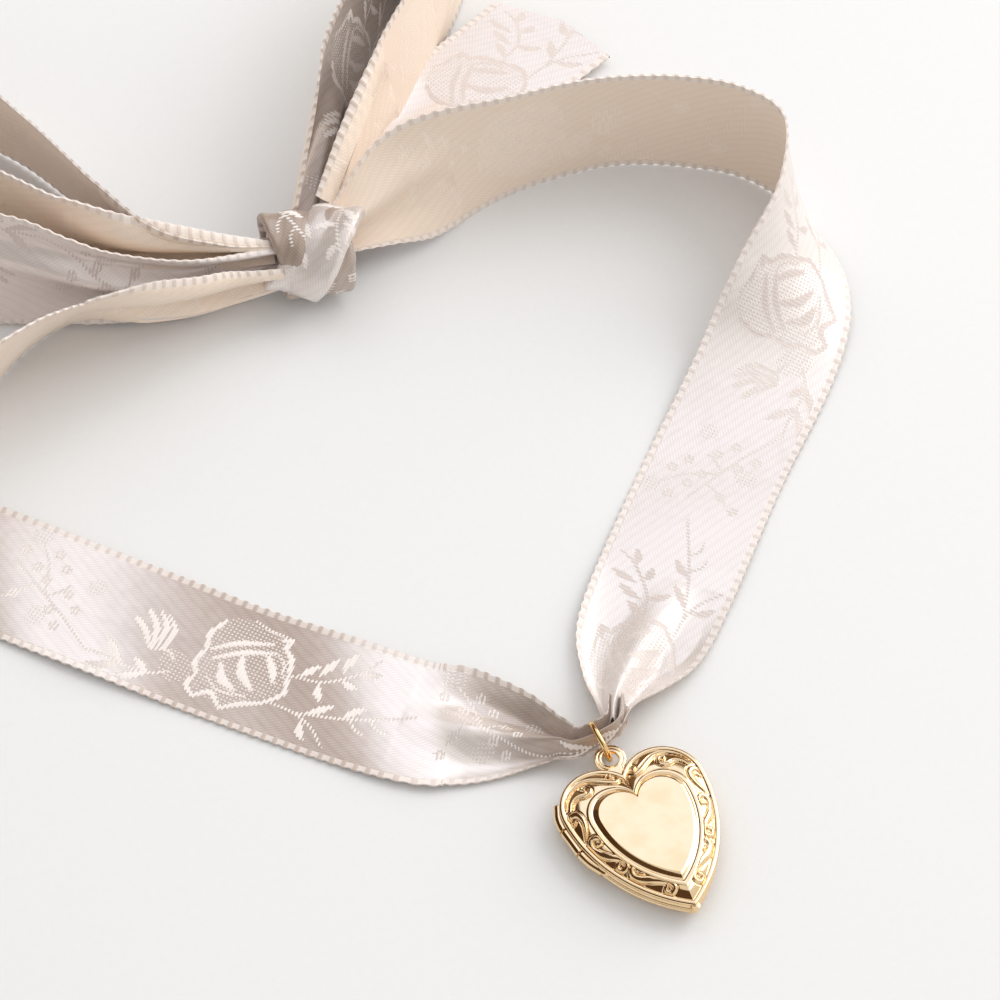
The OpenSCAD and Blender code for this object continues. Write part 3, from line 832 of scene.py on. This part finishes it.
# Drawn round the rose at 0, 0. Each stroke is its points, then its widths at start, middle and end.
THIN = (0.3, 0.4, 0.3)
PETAL = (0.5, 1.0, 0.4)
EDGE = (0.6, 0.9, 0.6)
LEAF = (0.3, 1.3, 0.4)
STROKES = [
    # Rose: ragged outer edge
    ([(-6.0, 6.5), (-7.2, 3.5), (-6.6, 0.5)], EDGE), ([(-6.6, 0.5), (-7.3, -2.0), (-6.2, -4.0)], EDGE),
    ([(-6.2, -4.0), (-6.6, -6.5), (-5.0, -8.0)], EDGE), ([(-5.0, -8.0), (-2.8, -6.4), (-0.3, -8.4)], EDGE),
    ([(-0.3, -8.4), (2.4, -6.6), (5.4, -5.2)], EDGE), ([(5.4, -5.2), (7.6, -2.6), (7.2, 0.6)], EDGE),
    ([(4.2, 7.4), (1.0, 7.6), (-1.8, 8.4)], THIN), ([(3.6, 6.6), (5.0, 7.0), (4.6, 5.2)], EDGE),
    # Rose: folded petals
    ([(-5.8, 0.9), (-2.4, 3.5), (2.6, 5.4)], PETAL), ([(-5.0, -0.6), (-1.0, 2.2), (3.6, 3.9)], PETAL),
    ([(-3.4, -1.0), (-2.2, -3.4), (0.2, -4.6)], (0.6, 1.6, 0.5)),
    ([(-0.8, 1.2), (0.2, -1.4), (2.8, -3.6)], (0.8, 1.5, 0.5)),
    ([(2.8, 2.9), (4.2, 1.2), (5.4, -1.2)], (0.8, 1.3, 0.5)),
    ([(4.6, 5.2), (6.3, 3.8), (7.2, 0.6)], PETAL), ([(4.0, 3.9), (5.6, 2.6), (6.3, 0.2)], THIN),
    ([(-4.4, -4.0), (-1.6, -5.6), (2.6, -5.0)], THIN),
    # Twig above and right of the rose
    ([(7.4, 1.0), (12.6, 1.8), (17.4, 5.4), (19.4, 8.4)], THIN),
    ([(11.6, 2.6), (12.4, 4.6), (13.2, 6.4)], LEAF),
    ([(14.6, 4.4), (15.0, 6.6), (15.6, 8.4)], LEAF), ([(8.6, 1.4), (9.8, 2.8), (10.8, 4.2)], LEAF),
    ([(12.0, 1.6), (12.4, -0.2), (13.4, -1.6)], LEAF), ([(15.2, 3.2), (16.4, 2.6), (17.6, 2.6)], LEAF),
    ([(17.4, 5.4), (18.8, 5.4), (20.2, 6.0)], LEAF),
    # Twig below it, with a long thin runner
    ([(5.6, -4.6), (10.4, -5.0), (14.0, -6.4), (16.8, -9.0)], THIN),
    ([(10.4, -5.0), (18.0, -3.2), (28.5, 0.6)], THIN), ([(12.2, -4.6), (14.0, -3.2), (15.6, -1.8)], LEAF),
    ([(12.2, -5.8), (12.6, -7.6), (13.6, -8.8)], LEAF), ([(18.0, -3.2), (19.0, -1.6), (20.4, -0.4)], LEAF),
    ([(19.0, -3.0), (20.4, -4.4), (21.8, -4.8)], THIN), ([(22.0, -2.0), (23.4, -3.2), (25.0, -3.4)], THIN),
    # Bud, above and left of the rose
    ([(-18.6, 1.1), (-16.6, -0.3), (-14.6, -2.8)], (1.0, 1.0, 0.5)),
    ([(-17.5, 3.2), (-15.3, 1.0), (-14.2, -2.8)], (0.8, 1.1, 0.5)),
    ([(-15.9, 3.9), (-13.9, 1.6), (-13.5, -2.6)], (0.5, 1.1, 0.5)),
    ([(-14.3, 3.7), (-12.4, 1.4), (-12.6, -2.2)], (0.4, 0.9, 0.5)),
    ([(-13.4, -2.6), (-11.6, -2.2), (-10.2, -3.4)], THIN),
    # Forked leaves under the bud
    ([(-21.2, -3.8), (-19.6, -5.2), (-17.3, -7.4)], LEAF),
    ([(-22.4, -9.6), (-20.0, -9.0), (-17.3, -7.4)], LEAF),
    ([(-23.6, -7.4), (-20.6, -7.2), (-17.3, -7.4)], THIN),
    ([(-15.9, -5.4), (-14.6, -6.2), (-13.1, -7.2)], LEAF),
    ([(-17.2, -9.6), (-15.2, -8.8), (-13.1, -7.2)], LEAF),
    ([(-17.3, -7.4), (-13.1, -7.2), (-10.2, -5.6)], THIN),
    # Sprig of small flowers
    ([(-40.4, 2.4), (-36.6, 0.4), (-33.6, -1.2), (-29.6, -3.4), (-23.6, -7.4)], THIN),
    ([(-38.8, 7.4), (-36.2, 4.4), (-34.4, 0.0), (-33.4, -1.2)], THIN),
    ([(-33.6, -1.2), (-32.0, 0.6), (-31.0, 2.2)], THIN), ([(-36.6, 0.4), (-38.0, -2.2), (-39.6, -3.8)], THIN)]
# Middles of the small blossoms, and the hatched patches behind the flowers: each x, y and a radius
BLOSSOM_SIZE = 0.62
BLOSSOMS = [(-35.4, 6.6), (-37.6, 3.2), (-33.2, 4.6), (-35.2, 1.6), (-30.6, 0.6), (-32.0, -3.2), (-28.2, -1.6),
            (-29.8, -5.6), (-40.6, 5.4), (-38.4, -2.6), (-40.4, -5.4)]
PETAL_PATCHES = [(-2.6, 3.6, 4.6), (1.6, 3.4, 4.4), (3.0, -0.6, 4.4), (-2.6, -2.4, 4.4), (-3.4, -4.8, 2.8),
                 (0.4, -4.4, 3.2), (-9.4, -4.4, 2.6), (-10.6, -3.2, 1.9), (-33.4, -5.0, 1.8), (-39.6, 8.6, 1.6),
                 (-27.0, 3.6, 1.5)]
# How far past its own points a stroke or blossom is looked for
STROKE_REACH, BLOSSOM_REACH = 1.5, 2.5


def pattern(x, y):
    """Distances to the hatched patches and to the bright strokes of the whole repeat."""
    x = wrapped(x)
    stroke = np.full(x.shape, FAR)
    for points, widths in STROKES:
        reach = np.array(points)
        close = (x > reach[:, 0].min() - STROKE_REACH) & (x < reach[:, 0].max() + STROKE_REACH)
        stroke[close] = np.minimum(stroke[close], brush(x[close], y[close], points, widths))
    for at in BLOSSOMS:
        close = np.abs(x - at[0]) < BLOSSOM_REACH
        stroke[close] = np.minimum(stroke[close], flower(x[close], y[close], at, BLOSSOM_SIZE))
    return discs(x, y, PETAL_PATCHES), stroke


def lengths(points):
    """Distance along a line of points, at each of them."""
    return np.concatenate([[0.0], np.cumsum(np.linalg.norm(np.diff(points, axis=0), axis=1))])


class Strip:
    """A ribbon's middle line, sampled evenly, with its width and the direction of its width.

    The route's leans set that direction, unless across gives it.
    """

    def __init__(self, route, across=None):
        fine = spline(route, 30)
        along = lengths(fine[:, :3])
        count = int(along[-1] / STATION) + 2
        at = np.linspace(0, along[-1], count)
        keep = np.stack([np.interp(at, along, fine[:, k]) for k in range(5)], -1)
        self.at = at
        self.middle = keep[:, :3]
        heading = unit(np.gradient(self.middle, axis=0))
        flat = unit(np.stack([-heading[:, 1], heading[:, 0], np.zeros(count)], -1))
        rise = np.cross(heading, flat)
        lean = np.radians(keep[:, 3])[:, None]
        self.across = np.cos(lean) * flat + np.sin(lean) * rise
        if across is not None:
            side = np.asarray(across, float)
            self.across = unit(side - (heading @ side)[:, None] * heading)
        self.out = unit(np.cross(heading, self.across))
        self.width = keep[:, 4]


def swell_turn(v):
    """The angle of the swells and of the painted pools of light at a distance along the ribbon."""
    return TURN * (v - GLOW_START) / GLOW_PITCH


def pleated(u, v, width, seed, pleats, fold_phase, max_fold, waves):
    """How far the cloth stands off its middle surface: pleats where narrowed, waves where it isn't."""
    tight = np.clip(RIBBON_W / width, 1, None)
    amplitude = width / (TURN * pleats) * np.sqrt(2 * (tight ** 2 - 1))
    amplitude = np.minimum(amplitude, max_fold)
    angle = TURN * pleats * (u / RIBBON_W + 0.5) + fold_phase + 0.05 * v
    fold = amplitude * (np.sin(angle) + 0.25 * np.sin(1.7 * angle + 1.3))
    ripple = waves * (0.3 + 0.7 * np.clip((width - 12) / 10, 0, 1)) * (
        1 + np.sin(swell_turn(v) + 0.05 * u) + 0.35 * np.sin(v / 4.3 - 0.09 * u + 2.1 * seed)
        + 0.3 * np.sin(0.31 * u + v / 9.0 + seed))
    return fold + ripple


def tucked_under(u, v, width, thick, seed):
    """Places across and out of a strip whose sides are folded under, each round a small radius."""
    flat_half = width / 2 - TUCK_R
    turned = np.clip((np.abs(u) - flat_half) / TUCK_R, 0, math.pi)
    run_back = np.maximum(np.abs(u) - flat_half - TUCK_R * math.pi, 0)
    reach = np.minimum(np.abs(u), flat_half) + TUCK_R * np.sin(turned) - run_back
    crease = 0.22 * np.sin(1.1 * u + 0.12 * v + seed) * np.cos(turned / 2) ** 2
    aside = np.sign(u) * (reach + thick * np.sin(turned))
    return aside, crease - TUCK_R * (1 - np.cos(turned)) + thick * np.cos(turned)


def cloth_mesh(name, points, u, v, marks):
    """A closed thin sheet through a grid of points, with its marks at each point and its UV in centimetres."""
    rows, columns = u.shape
    faces = grid_faces(rows, columns)
    for first, flip in ((0, False), ((rows - 1) * columns, True)):
        ring = [first + j for j in range(columns)]
        faces.append(tuple(ring if flip else ring[::-1]))
    mesh = bpy.data.meshes.new(name)
    mesh.from_pydata((points.reshape(-1, 3) * MM).tolist(), [], [tuple(f) for f in faces])
    mesh.validate()
    for label, values in marks.items():
        layer = mesh.attributes.new(label, "FLOAT", "POINT")
        layer.data.foreach_set("value", np.asarray(values, np.float32).reshape(-1))
    uv = mesh.uv_layers.new(name="cloth")
    corner = np.zeros(len(mesh.loops), int)
    mesh.loops.foreach_get("vertex_index", corner)
    flat_uv = np.stack([v.reshape(-1), u.reshape(-1)], -1)[corner] / 10
    uv.data.foreach_set("uv", flat_uv.astype(np.float32).reshape(-1))
    mesh.polygons.foreach_set("use_smooth", [True] * len(mesh.polygons))
    mesh.set_sharp_from_angle(angle=math.radians(60))
    mesh.materials.append(RIBBON)
    return mesh


def ribbon_piece(name, strip, replaced, phase, sense=1, pleats=2.0, fold_phase=0.0, waves=0.0, max_fold=1.6,
                 slant=0.0, seed=0.0, glow=(0.6, 0.15), tucked=False):
    """One length of ribbon as a closed thin sheet with its weave drawn on it.

    phase places the pattern, sense is -1 where the strip runs against it, and slant is how far the end is cut.
    glow is how bright the satin is painted, and how much brighter in the pools of light along it.
    A tucked ribbon has both its sides folded under, and any other narrowed ribbon is gathered in pleats.
    """
    face = np.linspace(-1, 1, FACE_COLUMNS)
    share = np.concatenate([face, np.linspace(1, -1, REVERSE_COLUMNS)])
    is_reverse = np.concatenate([np.zeros(FACE_COLUMNS), np.ones(REVERSE_COLUMNS)])
    rows, columns = len(strip.at), len(share)
    u = np.broadcast_to(share * RIBBON_W / 2, (rows, columns))
    v = np.broadcast_to(strip.at[:, None], (rows, columns))
    length = strip.at[-1]
    v_cut = v + np.interp(v, [length - CUT_L, length], [0, 1]) * slant * u
    index = np.clip(v_cut / length, 0, 1) * (rows - 1)

    def sample(values):
        low = np.clip(np.floor(index).astype(int), 0, rows - 2)
        t = (index - low)[..., None]
        return values[low] * (1 - t) + values[low + 1] * t

    middle, across, out = sample(strip.middle), sample(strip.across), sample(strip.out)
    width = sample(strip.width[:, None])[..., 0]
    # Painted shine: how bright the satin is painted, raised in the pools of light along it
    pool = (0.5 + 0.5 * np.sin(swell_turn(v) + 0.06 * u)) ** 2
    shine = glow[0] + glow[1] * (pool + 0.15 * np.sin(v / 5.3 + 0.21 * u + seed))
    fill, stroke = pattern(phase + sense * v, sense * u)

    beads = np.cos(TURN * v / SELVEDGE_PITCH)
    from_edge = RIBBON_W / 2 - np.abs(u)
    scallop = SCALLOP * beads * smooth_step((np.abs(u) - SCALLOP_AT) / SCALLOP_SOFT) * np.sign(u)
    bead = BEAD * smooth_step((BEAD_AT - from_edge) / BEAD_SOFT) * (0.7 + 0.3 * beads)
    relief = (STROKE_RELIEF * smooth_step(-stroke / RELIEF_SOFT)
              + FILL_RELIEF * smooth_step(-fill / RELIEF_SOFT))
    thick = np.where(is_reverse > 0, -(CLOTH_T / 2 + bead), CLOTH_T / 2 + bead + relief)
    if tucked:
        aside, offset = tucked_under(u, v, width, thick, seed)
    else:
        aside = (u + scallop) * width / RIBBON_W
        offset = pleated(u, v, width, seed, pleats, fold_phase, max_fold, waves) + thick
    points = middle + across * aside[..., None] + out * offset[..., None]
    points[..., 2] = np.maximum(points[..., 2], TABLE_GAP + np.where(is_reverse > 0, 0.0, CLOTH_T))

    marks = {"fill": fill, "stroke": stroke, "reverse": np.broadcast_to(is_reverse, u.shape),
             "from_edge": from_edge, "glow": shine}
    piece = link(bpy.data.objects.new(name, cloth_mesh(name, points, u, v, marks)))
    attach(piece, "ribbon")
    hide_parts(*replaced)
    return piece


# Each piece's glow paints its light and shade: the left neck band is painted shaded between bright pools, the
# right loop and knot wrap shaded, and the right neck band, left loop and right tail lit
ribbon_piece("neck_band_left", Strip(NECK_LEFT), ["neck_ribbon_left", "ribbon_gather"], -7.5, -1, waves=0.3,
             pleats=1.6, max_fold=1.3, seed=0.6, fold_phase=0.8, glow=(0.15, 0.80))
ribbon_piece("neck_band_right", Strip(NECK_RIGHT), ["neck_ribbon_right"], -15, 1, waves=0.22, pleats=1.6,
             max_fold=1.3, seed=2.2, fold_phase=2.0, glow=(0.80, 0.20))
ribbon_piece("bow_left", Strip(LOOP_LEFT), ["bow_loop_left"], 10, 1, seed=1.0, glow=(0.9, 0.1))
ribbon_piece("bow_right", Strip(LOOP_RIGHT), ["bow_loop_right"], 40, 1, seed=3.0,
             glow=(0.15, 0.3))
ribbon_piece("tail_left", Strip(TAIL_LEFT), ["ribbon_tail_left"], 30, 1, seed=4.0, slant=0.5)
ribbon_piece("tail_right", Strip(TAIL_RIGHT), ["ribbon_tail_right"], 30, 1, seed=5.0, slant=-0.5,
             glow=(0.85, 0.1))
ribbon_piece("knot_core", Strip(KNOT_CORE, across=(-1, 0.2, 0)), ["ribbon_knot"], 12, seed=1.0,
             glow=(0.4, 0.2), tucked=True)
ribbon_piece("knot_wrap", Strip(KNOT_WRAP, across=(1, -0.35, 0)), ["ribbon_knot"], 6, seed=2.0,
             glow=(0.0, 0.3), tucked=True)
ribbon_piece("knot_over", Strip(KNOT_OVER, across=(0.75, -0.65, 0.2)), ["ribbon_knot"], 0, seed=3.0,
             glow=(0.6, 0.3), tucked=True)
